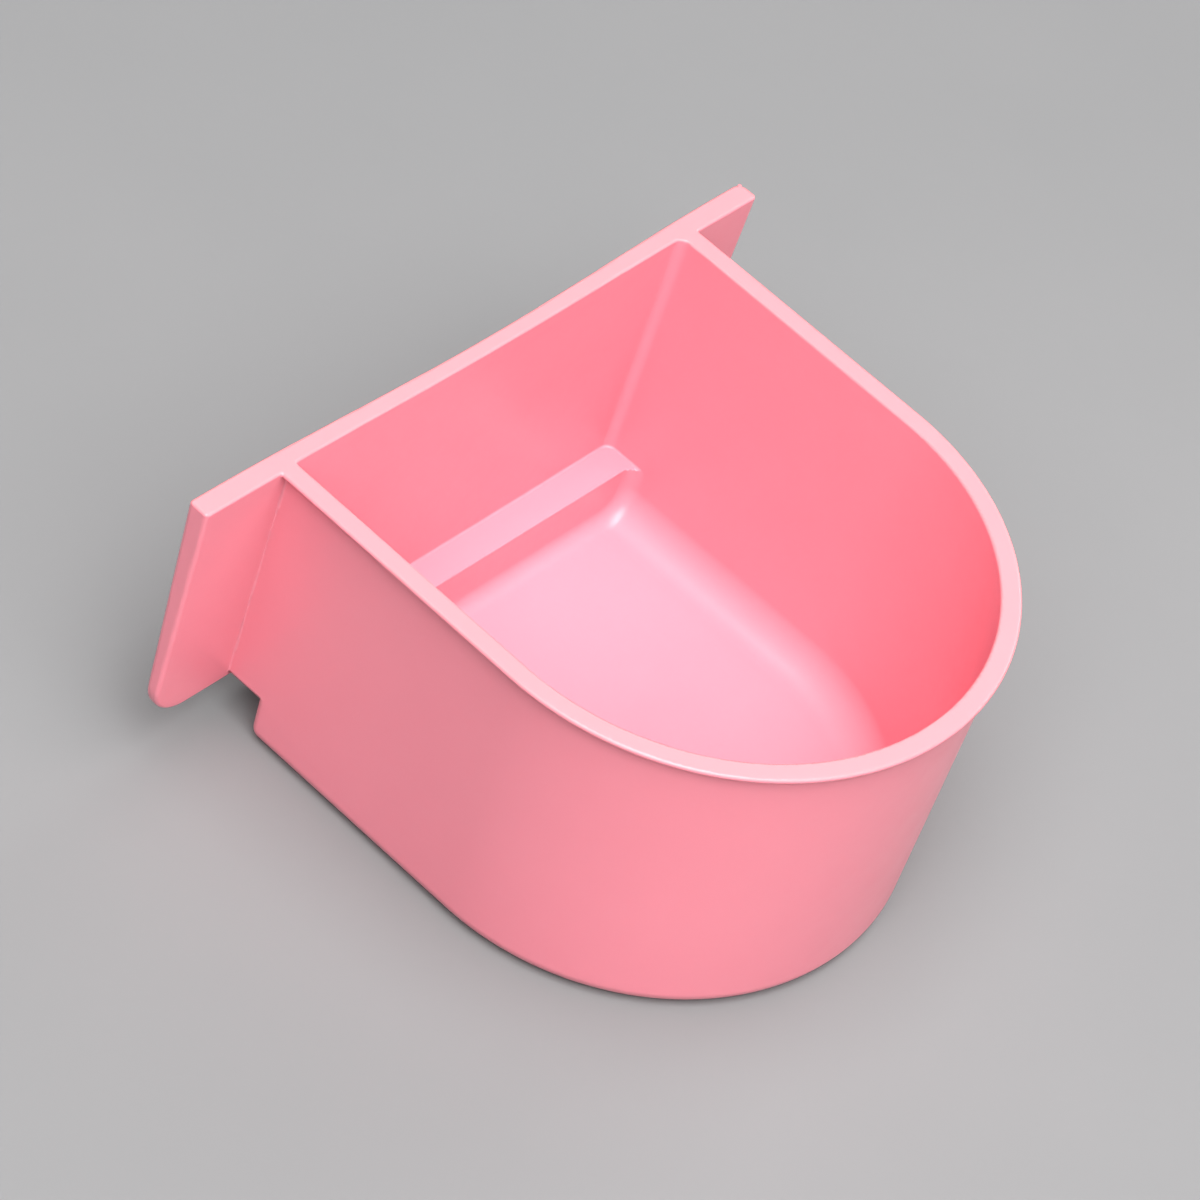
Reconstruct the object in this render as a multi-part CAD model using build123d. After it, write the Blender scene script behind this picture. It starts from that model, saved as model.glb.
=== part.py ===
from build123d import *
from math import radians, tan
import os

# A feeder cup for a wire cage, injection moulded in one piece.
# A D-shaped cup stands in front of a flat back plate, whose two wings reach past the cup
# and bear on the cage wires.  The plate stops short of the cup's underside, which leaves
# a stepped rebate behind the floor.
# Units are millimetres.  +X runs along the plate, -Y is the round front of the cup, +Z is up,
# and the origin is at the middle of the overall box, on the surface that the cup stands on.

# --- driving dimensions ---
height = 44.0
rim_width = 72.0          # across the outside of the rim
straight_length = 37.0    # straight side, from the plate to the start of the round front
plate_width = 95.0        # at the top edge
plate_thickness = 3.0     # of the wings, at the top edge

# --- rim, walls and floor ---
rim_overhang = 1.1        # how far the rim stands out past the wall
rim_depth = 0.7           # how far the rim reaches down
top_wall = 1.5            # wall thickness just under the rim
floor_thickness = 1.6
outer_draft = 1.25        # degrees
inner_draft = 3.0         # degrees

# --- back plate ---
plate_bottom = 6.3        # height of its lower edge
plate_end_draft = 1.0     # degrees
plate_front_taper = 1.4   # the wings' front face falls back this much over its height
plate_corner_radius = 5.9
wall_setback = 0.45       # at the top, the cup's back wall starts this far behind the wings' front
wall_lean = 0.4           # the same face comes forward this much down to the ledge

# --- step at the rear of the floor ---
rebate_height = 7.4       # underside of the ledge
rebate_depth = 3.5        # from the wings' front to the riser's outer face
ledge_thickness = 1.65
riser_thickness = 1.0

# --- radii ---
base_radius = 2.4         # outside, round the underside
floor_radius = 4.6        # inside, where the floor turns up into the sides and front
riser_corner_radius = 1.3 # outside
riser_foot_radius = 2.2   # inside, where the riser meets the sides and the floor
back_corner_radius = 1.4
edge_radius = 0.4         # top edges and the wings' edges
lip_radius = 0.25         # underneath the rim

# --- worked out from the above ---
rim_half = rim_width / 2
wall_half = rim_half - rim_overhang
inner_half = wall_half - top_wall
plate_half = plate_width / 2
plate_back_y = (plate_thickness + straight_length + rim_half) / 2
plate_front_y = plate_back_y - plate_thickness
wall_inner_y = plate_front_y + wall_setback
arc_y = plate_front_y - straight_length
riser_outer_y = plate_front_y - rebate_depth
riser_inner_y = riser_outer_y - riser_thickness
ledge_z = rebate_height + ledge_thickness

# --- where the moulding is divided into its named regions ---
wing_split_x = rim_half + 0.6
back_split_y = plate_front_y - 0.6
floor_split_z = floor_thickness + 0.6
step_split_x = 30.0
step_split_y = riser_inner_y - floor_radius - 1.0
step_split_z = ledge_z + 0.5

# --- tool bodies reach past what they cut by this much, and edges are told apart to this ---
clear = 20.0
near = 0.1


def d_face(half_width, back_y, z):
    """D-shaped face: straight back and sides, semicircular front about the cup's axis."""
    outline = [
        Line((half_width, back_y), (-half_width, back_y)),
        Line((-half_width, back_y), (-half_width, arc_y)),
        ThreePointArc((-half_width, arc_y), (0, arc_y - half_width), (half_width, arc_y)),
        Line((half_width, arc_y), (half_width, back_y)),
    ]
    return Pos(0, 0, z) * make_face(outline)


def slab(x_limits, y_limits, z_limits):
    """Box given by its low and high limit along each axis."""
    limits = (x_limits, y_limits, z_limits)
    size = [high - low for low, high in limits]
    centre = [(high + low) / 2 for low, high in limits]
    return Pos(*centre) * Box(*size)


def across(half):
    """Limits that reach equally far to each side."""
    return (-half, half)


def drafted_cup(half_width, depth, draft, back_y):
    """Solid D that narrows downwards from the top, cut off square at back_y."""
    full = extrude(d_face(half_width, back_y + clear, height), depth, (0, 0, -1), taper=draft)
    return full - slab(across(plate_half), (back_y, back_y + 2 * clear), (-clear, height + clear))


def bar(profile):
    """Solid with this outline of (y, z) corners, as long as the plate."""
    return extrude(Plane.YZ * make_face(Polyline(*profile, close=True)), plate_half, both=True)


def level_edges(solid, z):
    """Edges that lie flat at height z."""
    return solid.edges().filter_by(
        lambda edge: abs(edge.center().Z - z) < near and edge.bounding_box().size.Z < near
    )


def upright_edges(solid, y, least_height):
    """Edges taller than least_height that stand at y."""
    return solid.edges().filter_by(
        lambda edge: abs(edge.center().Y - y) < near and edge.bounding_box().size.Z > least_height
    )


def riser_edges(space):
    """Edges round the riser's inner face: both its sides and its foot."""
    return space.edges().filter_by(
        lambda edge: abs(edge.center().Y - riser_inner_y) < near and edge.center().Z < ledge_z - near
    )


def outer_shell():
    """Outside of the cup, with the rebate cut away behind the riser."""
    shell = drafted_cup(wall_half, height, outer_draft, plate_front_y + plate_thickness / 2)
    shell -= slab(across(plate_half), (riser_outer_y, riser_outer_y + clear), (-clear, rebate_height))
    shell = fillet(upright_edges(shell, riser_outer_y, rebate_height / 2), riser_corner_radius)
    return fillet(level_edges(shell, 0), base_radius)


def cavity():
    """Space inside the cup: the full mouth down to the ledge, and a deeper pocket in front of it."""
    space = drafted_cup(inner_half, height - floor_thickness, inner_draft, wall_inner_y)
    sides = level_edges(space, floor_thickness).filter_by(lambda edge: edge.center().Y < wall_inner_y - near)
    space = fillet(sides, floor_radius)
    space -= bar([
        (wall_inner_y, height),
        (wall_inner_y - wall_lean, ledge_z),
        (wall_inner_y + clear, ledge_z),
        (wall_inner_y + clear, height),
    ])
    space -= slab(across(plate_half), (riser_inner_y, riser_inner_y + clear), (-clear, ledge_z))
    wall_middle_y = wall_inner_y - wall_lean / 2
    space = fillet(upright_edges(space, wall_middle_y, ledge_z), back_corner_radius)
    return fillet(riser_edges(space), riser_foot_radius)


def rim():
    """Band that stands out round the cup's mouth, rounded underneath."""
    band = extrude(d_face(rim_half, plate_front_y + plate_thickness / 2, height), rim_depth, (0, 0, -1))
    outside = level_edges(band, height - rim_depth).filter_by(lambda edge: edge.center().Y < plate_front_y)
    return fillet(outside, lip_radius)


def back_plate():
    """Plate with a flat upright back, thinner and a little narrower at the bottom."""
    thick = bar([
        (plate_front_y, height),
        (plate_back_y, height),
        (plate_back_y, plate_bottom),
        (plate_front_y + plate_front_taper, plate_bottom),
    ])
    bottom_half = plate_half - (height - plate_bottom) * tan(radians(plate_end_draft))
    face = make_face(Polyline(
        (-plate_half, height),
        (plate_half, height),
        (bottom_half, plate_bottom),
        (-bottom_half, plate_bottom),
        close=True,
    ))
    lower_corners = face.vertices().sort_by(Axis.Y)[:2]
    outline = Plane.XZ * fillet(lower_corners, plate_corner_radius)
    return thick & extrude(outline, height, both=True)


def moulding():
    """The whole cup as it leaves the mould, with its exposed edges softened."""
    body = outer_shell() + rim() + back_plate() - cavity()
    exposed = body.edges().filter_by(
        lambda edge: abs(edge.center().X) > wing_split_x or edge.bounding_box().min.Z > height - near
    )
    return fillet(exposed, edge_radius)


def regions(whole):
    """The moulding divided, face to face, into its named regions."""
    far = plate_width
    cup_x = across(wing_split_x)
    wall_y = (arc_y, back_split_y)
    above_floor = (floor_split_z, far)
    everywhere = across(far)
    step_x = across(step_split_x)
    step_z = (floor_split_z, step_split_z)
    step = slab(step_x, (step_split_y, back_split_y), step_z)
    return {
        "left_wing": whole & slab((-far, -wing_split_x), everywhere, everywhere),
        "right_wing": whole & slab((wing_split_x, far), everywhere, everywhere),
        "back_wall": whole & slab(cup_x, (back_split_y, far), everywhere),
        "left_wall": (whole & slab((-wing_split_x, 0), wall_y, above_floor)) - step,
        "right_wall": (whole & slab((0, wing_split_x), wall_y, above_floor)) - step,
        "front_wall": whole & slab(cup_x, (-far, arc_y), above_floor),
        "floor_pan": whole & slab(cup_x, (-far, back_split_y), (-clear, floor_split_z)),
        "rear_ledge": whole & slab(step_x, (riser_outer_y, back_split_y), step_z),
        "rear_riser": whole & slab(step_x, (step_split_y, riser_outer_y), step_z),
    }


os.makedirs("parts", exist_ok=True)
for node, region in regions(moulding()).items():
    export_step(region, f"parts/{node}.step")
    print(node, "solids", len(region.solids()), "volume", round(region.volume))
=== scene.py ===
import math

import bpy
import numpy as np
from mathutils import Matrix, Vector


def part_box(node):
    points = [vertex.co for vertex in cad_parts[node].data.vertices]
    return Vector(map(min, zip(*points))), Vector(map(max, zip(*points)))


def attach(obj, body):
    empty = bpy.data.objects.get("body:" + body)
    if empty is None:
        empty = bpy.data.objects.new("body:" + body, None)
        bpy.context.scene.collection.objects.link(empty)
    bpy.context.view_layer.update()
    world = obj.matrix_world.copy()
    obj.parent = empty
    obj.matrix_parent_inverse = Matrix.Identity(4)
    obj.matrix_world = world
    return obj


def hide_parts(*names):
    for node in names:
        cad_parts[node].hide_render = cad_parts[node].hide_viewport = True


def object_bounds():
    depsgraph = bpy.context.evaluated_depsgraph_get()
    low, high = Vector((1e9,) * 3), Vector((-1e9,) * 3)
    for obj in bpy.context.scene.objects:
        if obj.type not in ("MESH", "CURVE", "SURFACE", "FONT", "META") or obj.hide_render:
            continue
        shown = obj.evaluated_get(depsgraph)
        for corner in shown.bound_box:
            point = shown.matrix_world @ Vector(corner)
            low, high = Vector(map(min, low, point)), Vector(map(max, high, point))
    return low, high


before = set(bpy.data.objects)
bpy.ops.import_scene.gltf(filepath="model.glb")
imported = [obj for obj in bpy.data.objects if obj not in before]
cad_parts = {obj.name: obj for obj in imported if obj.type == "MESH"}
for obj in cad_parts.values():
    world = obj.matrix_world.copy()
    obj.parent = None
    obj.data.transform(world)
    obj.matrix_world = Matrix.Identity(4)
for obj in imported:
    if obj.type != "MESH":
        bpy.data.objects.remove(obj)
cad_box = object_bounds()

# The feeder cup is one injection moulding, so it is shown as one seamless piece.  Its shape is a
# signed distance: negative inside the plastic, in millimetres, built from the frame's own
# limits.  Working this way gives the moulding its rounded edges and corners, and lets the plate
# sink a little as the real one does.  The surface is then meshed, thinned and given its exact
# normals.

MM = 1000.0               # the frame is in metres


def limits(node):
    """Low and high corner of a CAD node, in millimetres."""
    return [np.array(corner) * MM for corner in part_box(node)]


# --- sizes read from the frame ---
front_high = limits("front_wall")[1]
ledge_low, ledge_high = limits("rear_ledge")
wing_low, wing_high = limits("right_wing")
height = wing_high[2]
plate_half = wing_high[0]
plate_bottom = wing_low[2]
plate_back_y = wing_high[1]
rim_half = front_high[0]
arc_y = front_high[1]
rebate_z = ledge_low[2]
ledge_z = ledge_high[2]
riser_outer_y = ledge_low[1]

# --- thicknesses and tapers of the moulding ---
plate_thickness = 3.0     # of the wings, at the top edge
plate_front_taper = 1.4   # the wings' front face falls back this much over its height
plate_end_draft = math.radians(1.0)
wall_setback = 0.45       # the cup's back wall starts this far behind the wings' front
wall_lean = 0.4           # and comes forward this much down to the ledge
rim_overhang = 1.1
rim_depth = 0.7
top_wall = 1.5
floor_thickness = 1.6
riser_thickness = 1.0
riser_lean = 0.4          # the riser's inner face comes forward this much down to the floor
outer_draft = math.radians(1.25)
inner_draft = math.radians(3.0)
plate_front_y = plate_back_y - plate_thickness
wall_inner_y = plate_front_y + wall_setback

# --- radii, millimetres ---
base_radius = 2.4
floor_radius = 4.6         # where the floor turns up into the sides and front
riser_corner_radius = 1.3  # outside
riser_foot_radius = 2.2    # inside, where the riser meets the sides and the floor
left_corner_radius = 0.4   # the mouth's two back corners
right_corner_radius = 1.4
plate_corner_radius = 5.9
junction_radius = 0.15
rim_edge_radius = 0.3
mouth_edge_radius = 0.25
plate_edge_radius = 0.5
ledge_edge_radius = 0.3
under_rim_radius = 0.25

# --- moulding flaws ---
back_sink = 0.95          # the middle of the plate's top has drawn in this far from behind
inner_sink = 0.45         # and this far on the cup's side
sink_half = 44.0          # where the sink has died away, to each side of the middle
worn_corner_radius = 1.4  # the right end's back corner, where the flash was cut off
rim_skew = 0.4            # by the plate, the cup's top stands this much to the right of its foot
nib_radius = 0.32
nib_length = 1.5
nib_fillet = 0.1
nib_inward = (-0.68, -0.68, -0.27)   # unit vector from the nib's tip into the plate

# --- meshing, lengths in millimetres ---
fine_pitch = 0.32
box_margin = 1.0          # the sampled box reaches this far past the CAD
most_faces = 190000
slope_step = 0.02
least_steepness = 0.25    # keeps a step finite where the distance is nearly level

# --- colours, linear ---
plastic_tints = [(0.780, 0.230, 0.288, 1), (0.800, 0.241, 0.300, 1)]
# painted sheen: this warmer, less blue tint on the rim's and plate's top faces stands in for the
# creamy look of their highlights
painted_sheen_tint = (0.80, 0.228, 0.255, 1)
table_tints = [(0.182, 0.182, 0.184, 1), (0.191, 0.190, 0.192, 1)]

# --- finishes ---
plastic_roughness = (0.29, 0.35)
plastic_ior = 1.49
glow_weight = 0.05        # light that goes a little way into the plastic
glow_radius = (1.0, 0.45, 0.4)   # reach of its red, green and blue, times the scale
glow_scale = 0.001        # metres
grain_strength = 0.15
grain_depth = 0.0002      # metres
table_roughness = 0.9
cloud_scale = 45          # noise scales, per metre
gloss_scale = 160
grain_scale = 420
mottle_scale = 14
noise_low = 0.3           # nearly all of a noise texture lies between these
noise_high = 0.7

# --- stage, lengths in metres ---
table_half = 1.5
light_distance = 1.0
world_strength = 0.18
sensor_width = 36.0       # millimetres


# ---------------------------------------------------------------- signed distances

def meet(radius, *parts):
    """What all parts share, with the edges between them rounded."""
    inside = np.minimum(np.maximum.reduce(parts), -radius)
    return inside + np.sqrt(sum(np.maximum(part + radius, 0) ** 2 for part in parts))


def join(radius, *parts):
    """The parts together, with a fillet where they meet."""
    return -meet(radius, *[-part for part in parts])


def wall_distance(radial, depth, half_width, draft):
    """Distance from a drafted wall that is half_width from the middle at the top."""
    return (radial - half_width + depth * math.tan(draft)) * math.cos(draft)


def sunk(x, z):
    """Share of the full sink: 1 at the middle of the plate's top, fading sideways and downwards."""
    across = 0.5 + 0.5 * np.cos(math.pi * np.clip(np.abs(x) / sink_half, 0, 1))
    return across * np.clip(z / height, 0, 1)


def back_plate(x, y, z):
    """The plate and its wings."""
    depth = height - z
    front_y = plate_front_y + plate_front_taper * depth / (height - plate_bottom)
    behind = y - plate_back_y + back_sink * sunk(x, z)
    end = wall_distance(np.abs(x), depth, plate_half, plate_end_draft)
    outline = meet(plate_corner_radius, end, plate_bottom - z)
    plate = meet(plate_edge_radius, outline, np.maximum(behind, front_y - y))
    right_end = np.where(x > 0, end, -worn_corner_radius)
    return np.maximum(plate, meet(worn_corner_radius, right_end, behind))


def flash_nib(x, y, z):
    """Nib of flash left at the top of the plate's right back corner."""
    tip = np.array([plate_half, plate_back_y, height]) - nib_radius
    offset = [p - t for p, t in zip((x, y, z), tip)]
    along = np.clip(sum(o * i for o, i in zip(offset, nib_inward)), 0, nib_length)
    return np.sqrt(sum((o - i * along) ** 2 for o, i in zip(offset, nib_inward))) - nib_radius


def cup_outside(x, y, z, radial):
    """Outside of the cup with its plate, closed at the top."""
    wall = wall_distance(radial, height - z, rim_half - rim_overhang, outer_draft)
    before_plate = y - plate_front_y - plate_thickness / 2
    over_rebate = np.maximum(np.maximum(wall, before_plate), rebate_z - z)
    band = meet(under_rim_radius, radial - rim_half, height - rim_depth - z)
    upper = join(junction_radius, over_rebate, back_plate(x, y, z))
    upper = join(under_rim_radius, upper, np.maximum(band, before_plate))
    lower = meet(base_radius, meet(riser_corner_radius, wall, y - riser_outer_y), -z)
    return meet(rim_edge_radius, np.minimum(upper, lower), z - height)


def cup_inside(x, y, z, radial):
    """The space in the cup: its mouth down to the ledge, and the pocket in front of the riser."""
    wall = wall_distance(radial, height - z, rim_half - rim_overhang - top_wall, inner_draft)
    lean = wall_lean * (height - z) / (height - ledge_z)
    back = y - wall_inner_y + lean + inner_sink * sunk(x, z)
    corner_radius = np.where(x < 0, left_corner_radius, right_corner_radius)
    mouth = meet(corner_radius, wall, back)
    mouth = meet(ledge_edge_radius, mouth, ledge_z - z)
    riser = y - riser_outer_y + riser_thickness
    riser = riser + riser_lean * (ledge_z - z) / (ledge_z - floor_thickness)
    pocket = meet(floor_radius, wall, floor_thickness - z)
    pocket = meet(riser_foot_radius, pocket, riser)
    return np.minimum(mouth, pocket)


def moulding(points):
    """Signed distance of the whole cup at points, an array of x, y and z rows."""
    x, y, z = points
    cup_x = x - rim_skew * (y + plate_back_y) / (2 * plate_back_y) * z / height
    radial = np.where(y > arc_y, np.abs(cup_x), np.hypot(cup_x, y - arc_y))
    cup = meet(mouth_edge_radius, cup_outside(x, y, z, radial), -cup_inside(x, y, z, radial))
    return np.maximum(join(nib_fillet, cup, flash_nib(x, y, z)), z - height)


def slope(distance, points):
    """Gradient of a signed distance, by central differences."""
    rows = []
    for axis in range(3):
        shift = np.zeros((3, 1))
        shift[axis] = slope_step
        rows.append((distance(points + shift) - distance(points - shift)) / (2 * slope_step))
    return np.array(rows)


# ---------------------------------------------------------------- meshing

def sample_grid(distance, low, high, pitch):
    """The distance on a grid of points, a few slices at a time to save memory."""
    axes = [np.arange(a, b + pitch, pitch) for a, b in zip(low, high)]
    values = np.empty([len(axis) for axis in axes], np.float32)
    slices = 16
    for start in range(0, len(axes[2]), slices):
        block = np.meshgrid(axes[0], axes[1], axes[2][start:start + slices], indexing="ij")
        values[:, :, start:start + slices] = distance(np.array(block))
    return values


def surface_net(distance, low, high, pitch):
    """Closed quad mesh of the zero surface: one vertex in each cell that the surface crosses."""
    values = sample_grid(distance, low, high, pitch)
    solid = values < 0
    corners = [(i, j, k) for i in (0, 1) for j in (0, 1) for k in (0, 1)]
    inner = [n - 1 for n in solid.shape]
    count = sum(
        solid[i:inner[0] + i, j:inner[1] + j, k:inner[2] + k].astype(np.int8) for i, j, k in corners
    )
    active = (count > 0) & (count < len(corners))
    cells = np.argwhere(active)
    index = np.full(active.shape, -1, np.int32)
    index[active] = np.arange(len(cells))

    at_corner = {c: values[tuple((cells + c).T)] for c in corners}
    total = np.zeros((len(cells), 3))
    crossings = np.zeros(len(cells))
    for start in corners:
        for axis in range(3):
            if start[axis]:
                continue
            end = tuple(1 if a == axis else start[a] for a in range(3))
            first, last = at_corner[start], at_corner[end]
            crossed = (first < 0) != (last < 0)
            where = np.tile(np.array(start, float), (crossed.sum(), 1))
            where[:, axis] += first[crossed] / (first[crossed] - last[crossed])
            total[crossed] += where
            crossings[crossed] += 1
    points = (cells + total / crossings[:, None]) * pitch + np.array(low)

    quads = []
    for axis in range(3):
        side = np.moveaxis(solid, axis, 0)
        cell = np.moveaxis(index, axis, 0)
        i, j, k = np.argwhere((side[:-1] != side[1:])[:, 1:-1, 1:-1]).T
        j, k = j + 1, k + 1
        around = [cell[i, j - 1, k - 1], cell[i, j, k - 1], cell[i, j, k], cell[i, j - 1, k]]
        quad = np.stack(around, -1)
        outward = side[i, j, k] if axis != 1 else ~side[i, j, k]
        quad[~outward] = quad[~outward][:, ::-1]
        quads.append(quad)
    return points, np.concatenate(quads)


def settle(distance, points, rounds=3):
    """Points moved onto the surface along its slope."""
    for _ in range(rounds):
        gradient = slope(distance, points)
        steepness = np.maximum((gradient ** 2).sum(0), least_steepness)
        points = points - gradient * distance(points) / steepness
    return points


def smooth_mesh(name, distance, low, high, pitch):
    """Mesh object of a signed distance, thinned to at most most_faces, with exact normals."""
    points, quads = surface_net(distance, low, high, pitch)
    points = settle(distance, points.T).T
    mesh = bpy.data.meshes.new(name)
    mesh.from_pydata((points / MM).tolist(), [], quads.tolist())
    piece = bpy.data.objects.new(name, mesh)
    bpy.context.scene.collection.objects.link(piece)
    thin = piece.modifiers.new("thin", "DECIMATE")
    thin.ratio = min(1.0, most_faces / (2 * len(quads)))
    bpy.context.view_layer.update()
    evaluated = piece.evaluated_get(bpy.context.evaluated_depsgraph_get())
    thinned = bpy.data.meshes.new_from_object(evaluated)
    piece.modifiers.clear()
    piece.data = thinned
    bpy.data.meshes.remove(mesh)
    thinned.name = name

    flat = np.empty(3 * len(thinned.vertices))
    thinned.vertices.foreach_get("co", flat)
    settled = settle(distance, flat.reshape(-1, 3).T * MM)
    thinned.vertices.foreach_set("co", (settled.T / MM).ravel())
    thinned.shade_smooth()
    normals = slope(distance, settled).T
    normals /= np.linalg.norm(normals, axis=1)[:, None]
    thinned.normals_split_custom_set_from_vertices(normals.tolist())
    return piece


# ---------------------------------------------------------------- materials

def new_material(name):
    """An empty node material with its Principled shader."""
    material = bpy.data.materials.new(name)
    material.use_nodes = True
    return material, material.node_tree, material.node_tree.nodes["Principled BSDF"]


def noise(tree, scale, detail, coordinates):
    """A noise texture read at the object's own coordinates."""
    node = tree.nodes.new("ShaderNodeTexNoise")
    node.inputs["Scale"].default_value = scale
    node.inputs["Detail"].default_value = detail
    tree.links.new(coordinates, node.inputs["Vector"])
    return node.outputs["Fac"]


def remap(tree, value, from_range, to_range):
    """The value with from_range stretched to to_range, and held at its ends."""
    node = tree.nodes.new("ShaderNodeMapRange")
    node.inputs["From Min"].default_value, node.inputs["From Max"].default_value = from_range
    node.inputs["To Min"].default_value, node.inputs["To Max"].default_value = to_range
    tree.links.new(value, node.inputs["Value"])
    return node.outputs["Result"]


def blend(tree, factor, second):
    """A colour mix that goes to its second colour as the factor goes to 1."""
    node = tree.nodes.new("ShaderNodeMix")
    node.data_type = "RGBA"
    node.inputs["B"].default_value = second
    tree.links.new(factor, node.inputs["Factor"])
    return node


def cloudy(tree, place, scale, detail, tints):
    """Colour that drifts between two tints."""
    cloud = noise(tree, scale, detail, place)
    mix = blend(tree, remap(tree, cloud, (noise_low, noise_high), (0, 1)), tints[1])
    mix.inputs["A"].default_value = tints[0]
    return mix.outputs["Result"]


def top_faces(tree, place):
    """Mask of the painted sheen: 1 on the rim's and the plate's top faces, 0 below them."""
    split = tree.nodes.new("ShaderNodeSeparateXYZ")
    tree.links.new(place, split.inputs["Vector"])
    edge = ((height - rim_edge_radius) / MM, (height - rim_edge_radius / 3) / MM)
    return remap(tree, split.outputs["Z"], edge, (0, 1))


def pink_plastic():
    """Satin polypropylene: solid pink, faintly cloudy, with a painted sheen of warmer tint on its top
    faces.
    """
    material, tree, shader = new_material("pink_plastic")
    place = tree.nodes.new("ShaderNodeTexCoord").outputs["Object"]

    # painted sheen: the rim's and plate's top faces blend to a warmer tint that stands in for their
    # highlight
    painted_sheen = blend(tree, top_faces(tree, place), painted_sheen_tint)
    tree.links.new(cloudy(tree, place, cloud_scale, 3, plastic_tints), painted_sheen.inputs["A"])
    tree.links.new(painted_sheen.outputs["Result"], shader.inputs["Base Color"])

    gloss = remap(tree, noise(tree, gloss_scale, 4, place), (noise_low, noise_high), plastic_roughness)
    tree.links.new(gloss, shader.inputs["Roughness"])

    grain = tree.nodes.new("ShaderNodeBump")
    grain.inputs["Strength"].default_value = grain_strength
    grain.inputs["Distance"].default_value = grain_depth
    tree.links.new(noise(tree, grain_scale, 2, place), grain.inputs["Height"])
    tree.links.new(grain.outputs["Normal"], shader.inputs["Normal"])

    shader.inputs["IOR"].default_value = plastic_ior
    shader.inputs["Subsurface Weight"].default_value = glow_weight
    shader.inputs["Subsurface Radius"].default_value = glow_radius
    shader.inputs["Subsurface Scale"].default_value = glow_scale
    return material


def table_top():
    """Pale grey board, faintly mottled."""
    material, tree, shader = new_material("table_top")
    place = tree.nodes.new("ShaderNodeTexCoord").outputs["Object"]
    tree.links.new(cloudy(tree, place, mottle_scale, 5, table_tints), shader.inputs["Base Color"])
    shader.inputs["Roughness"].default_value = table_roughness
    return material


# ---------------------------------------------------------------- the cup

def make_cup():
    """The seamless moulding, in place of all the CAD regions."""
    margin = Vector((box_margin,) * 3)
    low = Vector(cad_box[0]) * MM - margin
    high = Vector(cad_box[1]) * MM + margin
    pitch = fine_pitch
    cup = smooth_mesh("feeder_cup", moulding, low, high, pitch)
    cup.data.materials.append(pink_plastic())
    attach(cup, "root")
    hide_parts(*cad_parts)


# ---------------------------------------------------------------- stage, light and camera

def make_table():
    """Large flat top that the cup stands on."""
    corners = [(x * table_half, y * table_half, 0) for x, y in ((-1, -1), (1, -1), (1, 1), (-1, 1))]
    mesh = bpy.data.meshes.new("table")
    mesh.from_pydata(corners, [], [(0, 1, 2, 3)])
    mesh.materials.append(table_top())
    table = bpy.data.objects.new("table", mesh)
    bpy.context.scene.collection.objects.link(table)


def direction(azimuth, elevation):
    """Unit vector towards a place seen from the cup; azimuth 0 is in front of it, at -Y."""
    a, e = math.radians(azimuth), math.radians(elevation)
    return Vector((math.sin(a) * math.cos(e), -math.cos(a) * math.cos(e), math.sin(e)))


def soft_box(name, azimuth, elevation, size, power):
    """Square area light that faces the cup."""
    light = bpy.data.lights.new(name, "AREA")
    light.shape = "SQUARE"
    light.size = size
    light.energy = power
    lamp = bpy.data.objects.new(name, light)
    towards = direction(azimuth, elevation)
    lamp.location = towards * light_distance
    lamp.rotation_euler = towards.to_track_quat("Z", "Y").to_euler()
    bpy.context.scene.collection.objects.link(lamp)


def make_world():
    """Even pale surroundings."""
    world = bpy.data.worlds.new("surroundings")
    world.use_nodes = True
    background = world.node_tree.nodes["Background"]
    background.inputs["Color"].default_value = (1, 1, 1, 1)
    background.inputs["Strength"].default_value = world_strength
    bpy.context.scene.world = world


def make_camera(azimuth, elevation, roll, distance, target, lens):
    """Camera that looks at target, a point in metres, turned about its own axis by roll."""
    data = bpy.data.cameras.new("camera")
    data.lens = lens
    data.sensor_width = sensor_width
    camera = bpy.data.objects.new("camera", data)
    back = direction(azimuth, elevation)
    turn = back.to_track_quat("Z", "Y").to_matrix() @ Matrix.Rotation(math.radians(roll), 3, "Z")
    camera.matrix_world = Matrix.Translation(Vector(target) + back * distance) @ turn.to_4x4()
    bpy.context.scene.collection.objects.link(camera)
    bpy.context.scene.camera = camera


make_cup()
make_table()
make_world()
soft_box("overhead", 0, 89, 0.5, 5.4)
soft_box("front_high", 0, 65, 0.8, 4.6)
soft_box("front_low", 0, 38, 0.5, 1.5)
soft_box("front_fill", -20, 20, 0.5, 1.2)
soft_box("left_high", -60, 75, 0.8, 4.6)
soft_box("left_middle", -60, 62, 0.8, 6.0)
soft_box("left_low", -60, 52, 0.6, 5.4)
soft_box("right", 90, 30, 0.5, 3.1)
make_camera(
    azimuth=-60.40, elevation=45.45, roll=18.80, distance=0.5909,
    target=(-0.00007, 0.01067, 0.022), lens=148.78,
)
bpy.context.scene.view_settings.view_transform = "Standard"
